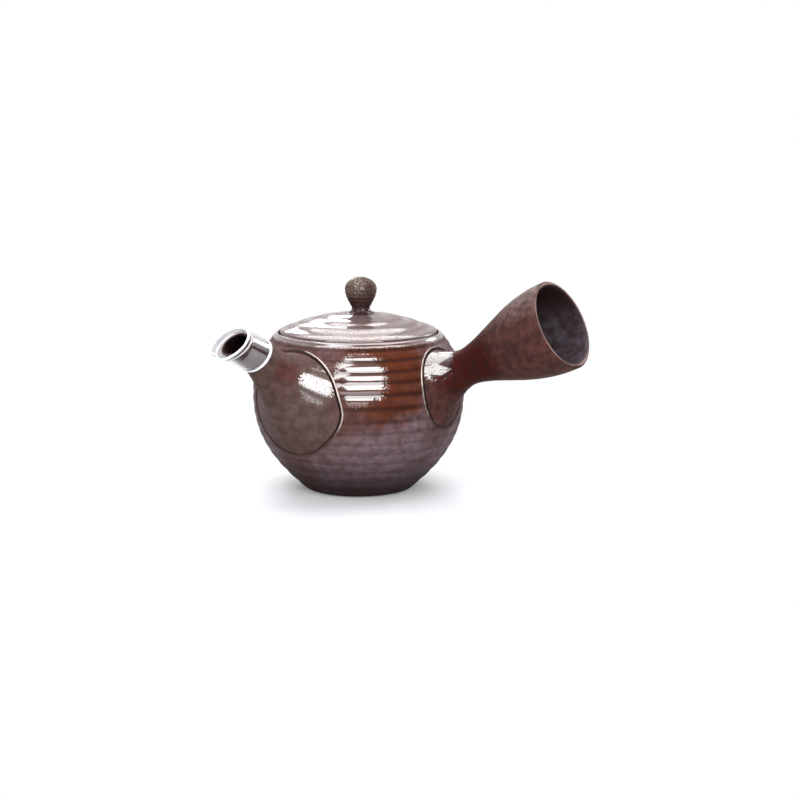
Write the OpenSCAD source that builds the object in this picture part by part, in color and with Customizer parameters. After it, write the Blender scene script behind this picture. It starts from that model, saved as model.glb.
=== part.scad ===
// Kyusu teapot: a thrown pot with an arched spout, a hollow side handle, a sunk lid and a clear spout guard
// The pot's axis is Z, the table is Z = 0 and the handle points along +X.

/* [Pot] */
// Largest outside radius, at the belly
belly_r = 50.4; // [47:0.1:56]
// Height of the belly above the table
belly_z = 46.7; // [44:0.1:50]
// Radius of the flat foot
foot_r = 25.4; // [20:0.1:32]
// Height of the pot's rim
rim_z = 75; // [74:0.1:80]
// How far the rim's outer edge lies outside the mouth
rim_edge = 1; // [0.6:0.1:2]
// How full the pot is below the belly
lower_curve = 2.34; // [1.9:0.02:2.8]
// How full the pot is above the belly
upper_curve = 2.2; // [1.8:0.02:2.6]
// Thickness of the pot's wall
wall = 3; // [2.2:0.1:4]
// Thickness of the pot's floor
floor_t = 4; // [3:0.1:6]
// Radius of the mouth that the lid drops into
mouth_r = 38; // [36:0.1:40]
// Depth of the lid's ledge below the rim
ledge_depth = 2.6; // [2:0.1:4]
// Thickness of the ledge
ledge_t = 3; // [2:0.1:4]
// Width of the ledge that carries the lid
ledge_w = 4; // [3:0.1:6]

/* [Throwing rings] */
// Distance between the broad rings of the shoulder
ring_pitch = 4.7; // [4:0.1:6]
// Depth of the throwing rings
ring_depth = 0.4; // [0.1:0.05:0.6]
// Height at which the broad rings of the shoulder begin
ring_low = 55.9; // [50:0.1:60]
// Number of narrow rings between the broad ones and the rim
rim_ring_count = 2; // [1:1:4]
// Number of wide rings round the belly, below the shoulder
belly_ring_count = 3; // [2:1:5]
// Height at which the wide rings of the belly begin
belly_ring_low = 37.4; // [32:0.1:44]
// Number of finer rings from the foot up to the belly
fine_ring_count = 7; // [5:1:12]
// Height at which the finer rings begin
fine_ring_low = 2; // [2:0.5:5]

/* [Handle] */
// Height at which the handle's axis leaves the pot's wall
handle_z = 57.6; // [55:0.1:60]
// Angle by which the handle rises
handle_rise = 25.7; // [20:0.1:30]
// Distance from the wall to the handle's neck, along its axis
neck_s = 13.8; // [12:0.1:16]
// Radius of the handle's neck
neck_r = 8.8; // [8:0.1:10]
// Radius of the handle's flared foot, on its axis at the wall
handle_foot_r = 13.5; // [12.5:0.1:15]
// Length of the handle from its neck to its open end
handle_len = 54; // [45:0.5:65]
// Outer radius at the handle's open end
handle_end_r = 20.8; // [17:0.1:23]
// Length of the straight lip at the open end
handle_lip = 4; // [2:0.1:8]
// Wall thickness of the hollow handle
handle_wall = 2.8; // [2:0.1:3.5]

/* [Spout] */
// Angle from the handle round to the spout, seen from above
spout_turn = 96; // [85:0.5:110]
// Height of the middle of the spout's round foot
spout_z = 44.5; // [43:0.1:47]
// Half the height of the spout's round foot
spout_foot_r = 25.4; // [22:0.1:26]
// Half the width of the spout's round foot
spout_foot_w = 27.3; // [24:0.1:27.5]
// How sharply the spout's sides spread out towards the pot
spout_flare = 2.6; // [1.5:0.1:3]
// Distance of the mouth's centre beyond the pot's belly
spout_out = 33; // [28:0.1:38]
// Height of the mouth's centre above the pot's rim
spout_up = 3.6; // [2:0.1:8]
// Angle by which the straight tip rises
tip_rise = 27; // [20:0.5:35]
// Length of the straight tip
tip_len = 15.2; // [12:0.1:18]
// Outer radius of the tip at the mouth
tip_r = 6.7; // [6:0.1:7.5]
// Outer radius where the straight tip begins
tip_root_r = 7.5; // [7.5:0.1:9]
// Angle by which the cut face of the mouth looks up
mouth_rise = 52; // [40:1:60]
// Angle by which the arch looks up where the straight tip begins
arch_rise = 38; // [32:1:45]
// Wall thickness of the straight tip
spout_wall = 1.7; // [1.2:0.1:2]
// Wall thickness of the arch, which the tip is set into
arch_wall = 2.6; // [2.5:0.1:3.5]
// Step of the arch round the tip that the guard is pushed up to
guard_step = 0.4; // [0.3:0.1:0.6]

/* [Strainer] */
// Radius of the hole through the pot's wall behind the spout
spout_hole_r = 11; // [8:0.5:12]
// Outer radius of the pierced half ball
strainer_r = 15; // [14:0.1:18]
// Thickness of the pierced half ball
strainer_t = 1.8; // [1.4:0.1:2.4]
// Radius of each hole in the half ball
strainer_hole_r = 1.1; // [0.6:0.05:1.2]

/* [Luting beads] */
// Height of the beads above the pot's wall
bead_h = 0.5; // [0.3:0.05:0.8]
// Width of the beads
bead_w = 1.3; // [0.8:0.1:2]
// Width of the groove between a bead and the foot that it goes round
bead_groove = 0.4; // [0.2:0.05:0.6]

/* [Lid] */
// Gap between the lid's rim and the mouth
lid_gap = 0.6; // [0.4:0.05:0.8]
// Gap between the lid and the ledge that it rests on
seat_gap = 0.2; // [0.1:0.05:0.3]
// Height of the lid's rim
lid_rim_h = 3.2; // [2.5:0.1:4]
// Radius of the lid's rounded edge
lid_edge_r = 1; // [0.5:0.1:1.5]
// Rise of the dome above the lid's rim
dome_h = 8.2; // [6:0.1:12]
// Thickness of the dome
dome_t = 3; // [2.4:0.1:4]
// Depth of the collar below the ledge
collar_h = 6; // [4:0.1:9]
// Thickness of the collar
collar_t = 2.6; // [2:0.1:3.5]
// Gap between the collar and the throat
collar_gap = 0.8; // [0.4:0.1:1.2]
// Distance between the rings on the dome
lid_ring_pitch = 8; // [5:0.1:10]
// Depth of the rings on the dome
lid_ring_depth = 0.3; // [0.1:0.05:0.5]
// Radius of the vent hole
vent_r = 1.2; // [0.8:0.05:1.5]
// Distance of the vent hole from the lid's axis
vent_out = 14; // [11:0.5:20]

/* [Knob] */
// Largest radius of the knob
knob_r = 7.7; // [6.5:0.1:9]
// Radius of the knob's neck
knob_neck_r = 4.3; // [3.5:0.1:5.5]
// Radius of the knob's foot on the lid
knob_foot_r = 6.6; // [5.5:0.1:8]
// Height of the knob
knob_h = 17.2; // [15:0.1:22]
// Height of the neck above the lid
knob_neck_z = 2.3; // [1.5:0.1:3.5]
// Height of the widest place above the lid
knob_wide_z = 11.5; // [10:0.1:13]
// How far the knob sits off the lid's middle
knob_off = 1.2; // [0:0.1:2]
// Direction in which the knob sits off the middle, seen from above
knob_off_turn = 33; // [0:1:359]

/* [Spout guard] */
// Thickness of the clear sleeve
guard_t = 0.8; // [0.6:0.05:1.2]
// Gap between the sleeve and the tip
guard_gap = 0.3; // [0.2:0.05:0.5]
// Distance from the mouth to the sleeve's lip, along the tip
guard_out = 3.2; // [2.5:0.1:6]
// How much the lip widens for each unit of length
guard_flare = 0.3; // [0.2:0.02:0.45]

/* [Hidden] */
$fn = 96;

// Hairline of slip that keeps luted faces apart
slip_gap = 0.02;
// Lift that keeps the flat facets of the spout's foot off the round wall
facet_gap = 0.07;
// Steps along the pot's outline, with several on each throwing ring
outline_steps = 120;
// Steps along smooth outlines
smooth_steps = 48;
inside_steps = 24;
// Depth by which the feet of spout and handle start inside the pot's outline
root_depth = 13;
foot_sink = 1;
// Overlap that lets cuts and joins pass through a face
over = 3;
// Sides and rings of the arched spout
arch_sides = 40;
arch_rings = 12;
// Depth by which the tip is set into the arch's end
tip_sink = 0.6;
// Steps by which a seam is found, each halving the stretch that holds it
halvings = 20;
// Sides of small round holes
small_hole_sides = 24;
// Size of the blocks that cut the mouth and the sleeve
cut_block = 60;

rim_r = mouth_r + rim_edge;
ledge_z = rim_z - ledge_depth;
throat_r = mouth_r - ledge_w;
throat_z = ledge_z - ledge_t;

// Outer radius of the smooth pot at a height
function body_r(z) = z < belly_z
    ? belly_r - (belly_r - foot_r) * pow((belly_z - z) / belly_z, lower_curve)
    : belly_r - (belly_r - rim_r) * pow((z - belly_z) / (rim_z - belly_z), upper_curve);

// Depth of a band of evenly spaced rings at a height
function ring_cut(z, low, high, pitch) = z < low || z > high
    ? 0
    : ring_depth * pow(sin(180 * (z - low) / pitch), 2);

ring_margin = 1;
ring_count = floor((rim_z - ring_margin - ring_low) / ring_pitch);
ring_high = ring_low + ring_count * ring_pitch;
rim_ring_pitch = (rim_z - ring_high) / rim_ring_count;
belly_ring_pitch = (ring_low - belly_ring_low) / belly_ring_count;
fine_ring_pitch = (belly_ring_low - fine_ring_low) / fine_ring_count;
function thrown_r(z) = body_r(z)
    - ring_cut(z, ring_low, ring_high, ring_pitch)
    - ring_cut(z, ring_high, rim_z, rim_ring_pitch)
    - ring_cut(z, belly_ring_low, ring_low, belly_ring_pitch)
    - ring_cut(z, fine_ring_low, belly_ring_low, fine_ring_pitch);

// Points up the outside and down the inside of the pot
function outside_points() = [
    for (i = [0 : outline_steps]) [thrown_r(rim_z * i / outline_steps), rim_z * i / outline_steps]
];
function inside_points() = [
    for (i = [inside_steps : -1 : 0])
        let (z = floor_t + (throat_z - floor_t) * i / inside_steps) [body_r(z) - wall, z]
];
mouth_points = [[mouth_r, rim_z], [mouth_r, ledge_z], [throat_r, ledge_z], [throat_r, throat_z]];

// The space that the pot fills, grown outward, with the way of the lid above it
module pot_space(grow) {
    side = [
        for (i = [0 : smooth_steps]) [body_r(rim_z * i / smooth_steps) + grow, rim_z * i / smooth_steps]
    ];
    rotate_extrude() polygon(concat([[0, 0]], side, [[rim_r, 2 * rim_z], [0, 2 * rim_z]]));
}

module at_spout() {
    rotate([0, 0, -spout_turn]) children();
}

module pot_body() {
    color([0.36, 0.25, 0.23])
    difference() {
        rotate_extrude()
            polygon(concat([[0, 0]], outside_points(), mouth_points, inside_points(), [[0, floor_t]]));
        at_spout()
            translate([body_r(spout_z) - wall - over, 0, spout_z])
            rotate([0, 90, 0]) cylinder(r = spout_hole_r, h = wall + 2 * over);
    }
}

// How sharply the handle's foot flares and how its horn opens
handle_foot_curve = 1.8;
horn_curve = 1.5;
function horn_share(s) = min(1, (s - neck_s) / (handle_len - handle_lip));
// Outer radius of the handle at a distance along its axis from the wall
function handle_r(s) = s < neck_s
    ? neck_r + (handle_foot_r - neck_r) * pow((neck_s - s) / neck_s, handle_foot_curve)
    : neck_r + (handle_end_r - neck_r) * pow(sin(90 * horn_share(s)), horn_curve);

handle_end_s = neck_s + handle_len;
handle_steps = 44;
function handle_s(i) = -root_depth + (handle_end_s - handle_wall / 2 + root_depth) * i / handle_steps;
function handle_side(inset) = [for (i = [0 : handle_steps]) [handle_r(handle_s(i)) - inset, handle_s(i)]];
function handle_lip_points() = [
    for (a = [15 : 15 : 165])
        [handle_end_r - handle_wall / 2 * (1 - cos(a)), handle_end_s - handle_wall / 2 * (1 - sin(a))]
];
function turned_round(points) = [for (i = [len(points) - 1 : -1 : 0]) points[i]];

module at_handle() {
    translate([body_r(handle_z), 0, handle_z]) rotate([0, 90 - handle_rise, 0]) children();
}

module handle() {
    color([0.42, 0.26, 0.22])
    difference() {
        at_handle() rotate_extrude()
            polygon(concat(handle_side(0), handle_lip_points(), turned_round(handle_side(handle_wall))));
        pot_space(slip_gap);
    }
}

// The spout's outline in its own upright plane: distance from the pot's axis, then height
mouth_at = [belly_r + spout_out, rim_z + spout_up];
tip_root_at = mouth_at - tip_len * [cos(tip_rise), sin(tip_rise)];
arch_up = [-sin(arch_rise), cos(arch_rise)];
foot_top_z = spout_z + spout_foot_r;
foot_low_z = spout_z - spout_foot_r;
arch_end_r = tip_root_r + guard_step;
arch_top_end = tip_root_at + arch_end_r * arch_up;
arch_low_end = tip_root_at - arch_end_r * arch_up;
arch_top_start = [body_r(foot_top_z) - foot_sink, foot_top_z];
arch_low_start = [body_r(foot_low_z) - foot_sink, foot_low_z];
// How far the ends of each outline run straight on, as a share of its span, and at what angle
arch_top_share = 0.54;
arch_low_share = 0.414;
arch_top_rise = 4;
arch_low_rise = 50;
arch_top_lead = arch_top_share * norm(arch_top_end - arch_top_start);
arch_low_lead = arch_low_share * norm(arch_low_end - arch_low_start);
function ahead(point, angle, distance) = point + distance * [cos(angle), sin(angle)];
arch_top = [
    arch_top_start,
    ahead(arch_top_start, arch_top_rise, arch_top_lead),
    ahead(arch_top_end, tip_rise, -arch_top_lead),
    arch_top_end
];
arch_low = [
    arch_low_start,
    ahead(arch_low_start, arch_low_rise, arch_low_lead),
    ahead(arch_low_end, 2 * arch_rise - tip_rise, -arch_low_lead),
    arch_low_end
];
function bezier(p, t) =
    pow(1 - t, 3) * p[0] + 3 * t * pow(1 - t, 2) * p[1] + 3 * t * t * (1 - t) * p[2] + pow(t, 3) * p[3];

// A point of the arch: t runs from the foot to the tip, k goes round, and rings span both outlines
function arch_point(t, k, grow) =
    let (
        top = bezier(arch_top, t),
        low = bezier(arch_low, t),
        middle = (top + low) / 2,
        up = (top - low) / norm(top - low),
        radius = norm(top - low) / 2 + grow,
        side = arch_end_r + (spout_foot_w - arch_end_r) * pow(1 - t, spout_flare) + grow,
        a = 360 * k / arch_sides
    )
    [middle[0] + radius * sin(a) * up[0], side * cos(a), middle[1] + radius * sin(a) * up[1]];

// Where the arch leaves the pot: the place along it, found by halving, at which a point is outside
function above_pot(p) = norm([p[0], p[1]]) - body_r(p[2]);
function seam_t(k, grow, lift, near = 0, far = 1, left = halvings) =
    let (middle = (near + far) / 2)
    left == 0 ? far
    : above_pot(arch_point(middle, k, grow)) > lift ? seam_t(k, grow, lift, near, middle, left - 1)
    : seam_t(k, grow, lift, middle, far, left - 1);

// Rings of points from the pot's wall to the straight tip
function arch_points(grow) =
    let (start = [for (k = [0 : arch_sides - 1]) seam_t(k, grow, facet_gap)])
    [
        for (j = [0 : arch_rings], k = [0 : arch_sides - 1])
            arch_point(start[k] + (1 - start[k]) * j / arch_rings, k, grow)
    ];

// Triangles between rings of points: ring number first turns into ring number second
function band(first, second, sides) = [
    for (k = [0 : sides - 1])
        let (n = (k + 1) % sides, a = first * sides, b = second * sides)
        each [[a + k, a + n, b + n], [a + k, b + n, b + k]]
];

module arch() {
    rings = arch_rings + 1;
    outer = [for (j = [0 : arch_rings - 1]) each band(j + 1, j, arch_sides)];
    inner = [for (j = [0 : arch_rings - 1]) each band(rings + j, rings + j + 1, arch_sides)];
    ends = concat(band(0, rings, arch_sides), band(rings + arch_rings, arch_rings, arch_sides));
    polyhedron(concat(arch_points(0), arch_points(-arch_wall)), concat(outer, inner, ends));
}

// The tip's own frame: its origin is the mouth's centre and its Z runs out along the tip
module at_tip() {
    translate([mouth_at[0], 0, mouth_at[1]]) rotate([0, 90 - tip_rise, 0]) children();
}
function tip_radius(s) = tip_r - (tip_root_r - tip_r) * s / tip_len;
tip_stations = [-tip_len - over, 2 * over];

// Blocks on the far and the near side of a slanting plane through a point of the spout's plane
module beyond(point, angle) {
    translate([point[0], 0, point[1]]) rotate([0, 90 - angle, 0])
        translate([-cut_block / 2, -cut_block / 2, 0]) cube(cut_block);
}
module behind(point, angle) {
    beyond(point, angle - 180);
}

module tip() {
    difference() {
        at_tip() rotate_extrude() polygon(concat(
            [for (s = tip_stations) [tip_radius(s), s]],
            [for (s = turned_round(tip_stations)) [tip_radius(s) - spout_wall, s]]
        ));
        beyond(mouth_at, mouth_rise);
        behind(ahead(tip_root_at, arch_rise, -tip_sink), arch_rise);
    }
}

module spout() {
    color([0.34, 0.26, 0.25])
    at_spout() {
        arch();
        tip();
    }
}

// The bead's half-round section from the groove to its outer edge: distance out from the foot, then height
bead_section = [
    for (a = [180 : -45 : 0])
        [bead_groove + bead_w / 2 * (1 + cos(a)), slip_gap + (bead_h - slip_gap) * sin(a)]
];

// Direction out of the pot's wall, from its slope at a point
slope_step = 0.01;
function wall_slope(z) = (body_r(z + slope_step) - body_r(z - slope_step)) / (2 * slope_step);
function wall_normal(p) =
    let (n = [p[0], p[1], -wall_slope(p[2]) * norm([p[0], p[1]])])
    n / norm(n);

// A bead follows a closed seam on the pot's wall, just outside it
module bead(seam) {
    sides = len(seam);
    edges = len(bead_section);
    points = [
        for (edge = bead_section, k = [0 : sides - 1])
            let (
                along = seam[(k + 1) % sides] - seam[(k + sides - 1) % sides],
                up = wall_normal(seam[k]),
                out = cross(along, up)
            )
            seam[k] + edge[0] * out / norm(out) + edge[1] * up
    ];
    polyhedron(points, [for (j = [0 : edges - 1]) each band(j, (j + 1) % edges, sides)]);
}

module spout_luting_bead() {
    color([0.45, 0.33, 0.30])
    at_spout() bead([for (k = [0 : arch_sides - 1]) arch_point(seam_t(k, 0, slip_gap), k, 0)]);
}

// A point of the handle's side, and where that side leaves the pot's wall
seam_sides = 48;
function handle_point(s, k) =
    let (a = 360 * k / seam_sides, r = handle_r(s), lean = 90 - handle_rise)
    [
        body_r(handle_z) + r * cos(a) * cos(lean) + s * sin(lean),
        r * sin(a),
        handle_z - r * cos(a) * sin(lean) + s * cos(lean)
    ];
function handle_seam(k, near = -root_depth, far = neck_s, left = halvings) =
    let (middle = (near + far) / 2)
    left == 0 ? handle_point(far, k)
    : above_pot(handle_point(middle, k)) > slip_gap ? handle_seam(k, near, middle, left - 1)
    : handle_seam(k, middle, far, left - 1);

module handle_luting_bead() {
    color([0.45, 0.33, 0.30])
    bead([for (k = [0 : seam_sides - 1]) handle_seam(k)]);
}

// Rings of strainer holes: angle from the middle, and how many holes
strainer_rings = [[0, 1], [15, 6], [30, 12], [45, 18]];
// The half ball's centre lies this far outside the pot's inner wall
strainer_sink = 4;
// The largest ball about the spout's height that stays inside the pot's inner wall beside the strainer
wall_checks = 8;
strainer_wall_r = min([
    for (i = [-wall_checks : wall_checks])
        let (h = strainer_r * i / wall_checks) norm([body_r(spout_z + h) - wall, h])
]) - slip_gap;
hole_margin = strainer_t / 2;

module at_strainer() {
    at_spout() translate([body_r(spout_z) - wall + strainer_sink, 0, spout_z]) children();
}

module strainer() {
    color([0.38, 0.27, 0.25])
    difference() {
        intersection() {
            at_strainer() difference() {
                sphere(r = strainer_r);
                sphere(r = strainer_r - strainer_t);
            }
            translate([0, 0, spout_z]) sphere(r = strainer_wall_r);
        }
        at_strainer() for (ring = strainer_rings, k = [0 : ring[1] - 1])
            rotate([360 * k / ring[1], 0, 0]) rotate([0, -90 + ring[0], 0])
                translate([0, 0, strainer_r - strainer_t - hole_margin])
                cylinder(r = strainer_hole_r, h = strainer_t + 2 * hole_margin, $fn = small_hole_sides);
    }
}

lid_r = mouth_r - lid_gap;
lid_low_z = ledge_z + seat_gap;
lid_edge_z = lid_low_z + lid_rim_h;
dome_radius = (lid_r * lid_r + dome_h * dome_h) / (2 * dome_h);
collar_r = throat_r - collar_gap;
lid_steps = 48;
lid_ring_count = 3;
lid_ring_margin = 2;
lid_ring_low = lid_r - lid_ring_count * lid_ring_pitch - lid_ring_margin;
// Height of the dome at a distance from the axis, with its rings sunk in
function dome_z(r) = lid_edge_z + dome_h - dome_radius + sqrt(dome_radius * dome_radius - r * r);
function lid_ring(r) = r < lid_ring_low || r > lid_ring_low + lid_ring_count * lid_ring_pitch
    ? 0
    : lid_ring_depth * pow(sin(180 * (r - lid_ring_low) / lid_ring_pitch), 2);
// The dome is flat under the knob
knob_seat_r = knob_foot_r + knob_off;
knob_seat_z = dome_z(knob_seat_r);
// The rounded edge runs on from the dome's slope down to the upright rim
edge_lean = asin(lid_r / dome_radius);
edge_start_r = lid_r - lid_edge_r * (1 - sin(edge_lean));
edge_centre_z = dome_z(edge_start_r) - lid_edge_r * cos(edge_lean);
edge_steps = 6;
function lid_edge_points() = [
    for (i = [1 : edge_steps])
        let (a = edge_lean + (90 - edge_lean) * i / edge_steps)
        [lid_r - lid_edge_r * (1 - sin(a)), edge_centre_z + lid_edge_r * cos(a)]
];
function dome_points() = [
    for (i = [0 : lid_steps])
        let (r = knob_seat_r + (edge_start_r - knob_seat_r) * i / lid_steps) [r, dome_z(r) - lid_ring(r)]
];
function under_dome_points() = [
    for (i = [inside_steps : -1 : 0])
        let (r = (collar_r - collar_t) * i / inside_steps) [r, dome_z(r) - dome_t]
];

module lid() {
    color([0.38, 0.28, 0.27])
    difference() {
        rotate_extrude() polygon(concat(
            [[0, knob_seat_z]],
            dome_points(),
            lid_edge_points(),
            [[lid_r, lid_low_z], [collar_r, lid_low_z]],
            [[collar_r, ledge_z - collar_h], [collar_r - collar_t, ledge_z - collar_h]],
            under_dome_points()
        ));
        rotate([0, 0, spout_turn]) translate([vent_out, 0, ledge_z])
            cylinder(r = vent_r, h = lid_edge_z + dome_h + over - ledge_z, $fn = small_hole_sides);
    }
}

// How quickly the knob swells above its neck
knob_curve = 1.2;
knob_steps = 14;
function knob_points() = concat(
    [for (i = [0 : knob_steps])
        let (t = i / knob_steps)
        [knob_neck_r + (knob_foot_r - knob_neck_r) * pow(1 - t, 2), knob_neck_z * t]],
    [for (i = [1 : knob_steps])
        let (t = i / knob_steps)
        [
            knob_neck_r + (knob_r - knob_neck_r) * pow(sin(90 * t), knob_curve),
            knob_neck_z + (knob_wide_z - knob_neck_z) * t
        ]],
    [for (i = [1 : knob_steps])
        let (a = 90 * i / knob_steps)
        [knob_r * cos(a), knob_wide_z + (knob_h - knob_wide_z) * sin(a)]]
);

module knob() {
    color([0.28, 0.20, 0.19])
    rotate([0, 0, knob_off_turn]) translate([knob_off, 0, knob_seat_z])
        rotate_extrude() polygon(concat([[0, 0]], knob_points()));
}

// The sleeve follows the tip and then widens to its lip
guard_root = tip_len + over;
flare_start = -over;
guard_front = guard_out + 2 * over;
function guard_in_r(s) = tip_radius(s) + guard_gap + guard_flare * max(0, s - flare_start);
guard_stations = [-guard_root, flare_start, guard_front];

module spout_guard() {
    color([0.80, 0.85, 0.88, 0.4])
    at_spout() difference() {
        at_tip() rotate_extrude() polygon(concat(
            [for (s = guard_stations) [guard_in_r(s), s]],
            [for (s = turned_round(guard_stations)) [guard_in_r(s) + guard_t, s]]
        ));
        beyond(ahead(mouth_at, tip_rise, guard_out), mouth_rise);
        behind(ahead(tip_root_at, arch_rise, guard_gap), arch_rise);
    }
}

pot_body();
spout();
handle();
strainer();
spout_luting_bead();
handle_luting_bead();
lid();
knob();
spout_guard();
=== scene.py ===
# %% [markdown]
# # A side-handled teapot in fired clay
# This lesson dresses a CAD teapot for a photograph. The CAD model comes in as a fixed frame: it says
# where everything is and what moves. We then throw, pull and turn our own smooth pieces over it, give
# them clay that has been through a kiln, and light them like a small studio table.

# %% Load the frame
import math

import bpy
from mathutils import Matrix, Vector


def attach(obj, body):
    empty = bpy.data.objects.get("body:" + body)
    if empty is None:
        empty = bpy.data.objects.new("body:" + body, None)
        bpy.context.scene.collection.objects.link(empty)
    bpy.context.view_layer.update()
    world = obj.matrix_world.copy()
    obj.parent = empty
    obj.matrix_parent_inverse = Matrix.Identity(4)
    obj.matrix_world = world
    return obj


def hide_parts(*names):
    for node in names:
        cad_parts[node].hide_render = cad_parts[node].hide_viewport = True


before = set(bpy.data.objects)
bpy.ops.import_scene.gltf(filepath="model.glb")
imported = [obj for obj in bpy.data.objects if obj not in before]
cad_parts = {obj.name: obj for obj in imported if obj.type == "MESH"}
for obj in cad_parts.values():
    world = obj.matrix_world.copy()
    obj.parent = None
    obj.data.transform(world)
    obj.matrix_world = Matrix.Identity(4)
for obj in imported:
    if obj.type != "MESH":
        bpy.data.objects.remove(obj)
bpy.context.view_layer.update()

# %% [markdown]
# ## The pot's sizes
# A pot has a foot, a belly and a rim, and a curve between each two of them. We write the sizes once, in
# millimetres, and turn them into metres only when a point is placed. The curve is a small function,
# because the spout, the handle and the beads of slip all have to know where the wall is. The throwing
# rings lie in four bands, each given by the height where it starts and the number of its rings.

# %% Sizes of the pot
MM = 0.001
BELLY_R, BELLY_Z = 50.4, 46.7
FOOT_R = 25.4
RIM_R, RIM_Z = 39.0, 75.0
LOWER_CURVE, UPPER_CURVE = 2.34, 2.2
WALL, FLOOR_T = 3.0, 4.0
MOUTH_R, LEDGE_Z, THROAT_R, THROAT_Z = 38.0, 72.4, 34.0, 69.4
RING_DEPTH = 0.4
RING_STARTS = ((2.0, 7), (37.4, 3), (55.9, 3), (70.0, 2))
RING_ENDS = [low for low, count in RING_STARTS[1:]] + [RIM_Z]
RING_BANDS = [(low, high, (high - low) / count) for (low, count), high in zip(RING_STARTS, RING_ENDS)]
FAINTEST, FAINT_Z, FAINT_REACH = 0.5, 30.0, 18.0


def wall_r(z):
    """Outside radius of the smooth pot at a height."""
    if z < BELLY_Z:
        return BELLY_R - (BELLY_R - FOOT_R) * ((BELLY_Z - z) / BELLY_Z) ** LOWER_CURVE
    return BELLY_R - (BELLY_R - RIM_R) * ((z - BELLY_Z) / (RIM_Z - BELLY_Z)) ** UPPER_CURVE


def band_of_rings(z, low, high, pitch):
    """How deep the finger's groove is at a height: round crests with a narrow groove between two."""
    if not low < z < high:
        return 0.0
    strength = min(1, FAINTEST + (1 - FAINTEST) * ((z - FAINT_Z) / FAINT_REACH) ** 2)
    return RING_DEPTH * strength * (1 - abs(math.cos(math.pi * (z - low) / pitch)))


def thrown_r(z):
    """Outside radius with the throwing rings pressed in."""
    return wall_r(z) - sum(band_of_rings(z, *band) for band in RING_BANDS)


print("belly", 2 * thrown_r(BELLY_Z), "mm across, rim", 2 * thrown_r(RIM_Z), "mm across")

# %% [markdown]
# ## The camera
# The camera stands a little above the table and looks past the spout to the handle. Its lens and place
# were worked out from the pot's own outline, so the picture and the model share one viewpoint. It aims
# at a point beside the pot's axis, because the long handle moves the middle of the picture.

# %% Camera
CAMERA_TURN, CAMERA_RISE, CAMERA_AWAY = math.radians(33.5), math.radians(10.5), 0.9
LENS, SENSOR = 84.65, 36.0
AIM = Vector((16.49, 10.91, 41.65)) * MM


def seen_from(turn, rise, away):
    """A place that far from the aim: turn goes to the right of straight ahead, rise goes up."""
    side = Vector((math.sin(turn), -math.cos(turn), 0)) * math.cos(rise)
    return AIM + away * (side + Vector((0, 0, math.sin(rise))))


bpy.ops.object.select_all(action="DESELECT")
bpy.ops.object.camera_add(location=seen_from(CAMERA_TURN, CAMERA_RISE, CAMERA_AWAY))
camera = bpy.context.object
camera.name = "table_camera"
camera.rotation_euler = (AIM - camera.location).to_track_quat("-Z", "Y").to_euler()
camera.data.lens, camera.data.sensor_width = LENS, SENSOR
bpy.context.scene.camera = camera
bpy.context.scene.view_settings.view_transform = "Standard"
print("camera at", [round(c, 3) for c in camera.location])

# %% [markdown]
# ## Throwing on the wheel
# The pot, the lid, the knob and the handle were all thrown, so they are all round about an axis. The
# wheel in Blender is the Spin tool: one point is pulled along an outline by extruding it, and the line
# that it leaves is spun once round. Doubled points on the seam and at the poles are merged, and the
# faces are then turned outwards.

# %% The wheel
TURN_STEPS = 180
MERGE_GAP = 0.005 * MM
SMOOTH_ANGLE = math.radians(50)


def start_alone():
    """Leaves edit mode and deselects everything, so that the next tool touches one piece."""
    if bpy.context.object and bpy.context.object.mode != "OBJECT":
        bpy.ops.object.mode_set(mode="OBJECT")
    bpy.ops.object.select_all(action="DESELECT")


def pick(piece):
    """Selects one piece alone and makes it the active one."""
    start_alone()
    piece.select_set(True)
    bpy.context.view_layer.objects.active = piece


def edit_all():
    """Opens the active piece in edit mode, with all of it selected."""
    bpy.ops.object.mode_set(mode="EDIT")
    bpy.ops.mesh.select_all(action="SELECT")


def close_up():
    """Turns all faces outwards and leaves edit mode."""
    bpy.ops.mesh.select_all(action="SELECT")
    bpy.ops.mesh.normals_make_consistent(inside=False)
    bpy.ops.object.mode_set(mode="OBJECT")


def throw(name, outline, steps=TURN_STEPS):
    """Pulls a point along an outline of (radius, height) and spins the line round Z."""
    start_alone()
    bpy.ops.mesh.primitive_plane_add(size=MM)
    piece = bpy.context.object
    piece.name = name
    edit_all()
    bpy.ops.mesh.merge(type="CENTER")
    points = [Vector((radius, 0, height)) * MM for radius, height in outline]
    bpy.ops.transform.translate(value=points[0])
    for here, there in zip(points, points[1:]):
        bpy.ops.mesh.extrude_region_move(TRANSFORM_OT_translate={"value": there - here})
    bpy.ops.mesh.select_all(action="SELECT")
    bpy.ops.mesh.spin(steps=steps, angle=math.tau, center=(0, 0, 0), axis=(0, 0, 1))
    bpy.ops.mesh.select_all(action="SELECT")
    bpy.ops.mesh.remove_doubles(threshold=MERGE_GAP)
    close_up()
    return piece


def apply_last(piece):
    """Applies the modifier that was added last."""
    bpy.context.view_layer.objects.active = piece
    bpy.ops.object.modifier_apply(modifier=piece.modifiers[-1].name)


def place(piece, location, rotation):
    """Moves a piece to its place and puts that place into its mesh."""
    pick(piece)
    piece.location, piece.rotation_euler = location, rotation
    bpy.ops.object.transform_apply(location=True, rotation=True, scale=True)


def touch_by_hand(piece, feature, depth):
    """Presses in a soft unevenness. It only sinks, so the piece stays within its CAD size."""
    pick(piece)
    clouds = bpy.data.textures.new(piece.name + "_touch", "CLOUDS")
    clouds.noise_scale = feature * MM
    bpy.ops.object.modifier_add(type="DISPLACE")
    press = piece.modifiers[-1]
    press.texture, press.texture_coords = clouds, "LOCAL"
    press.strength, press.mid_level = depth * MM, 1.0
    apply_last(piece)


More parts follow.
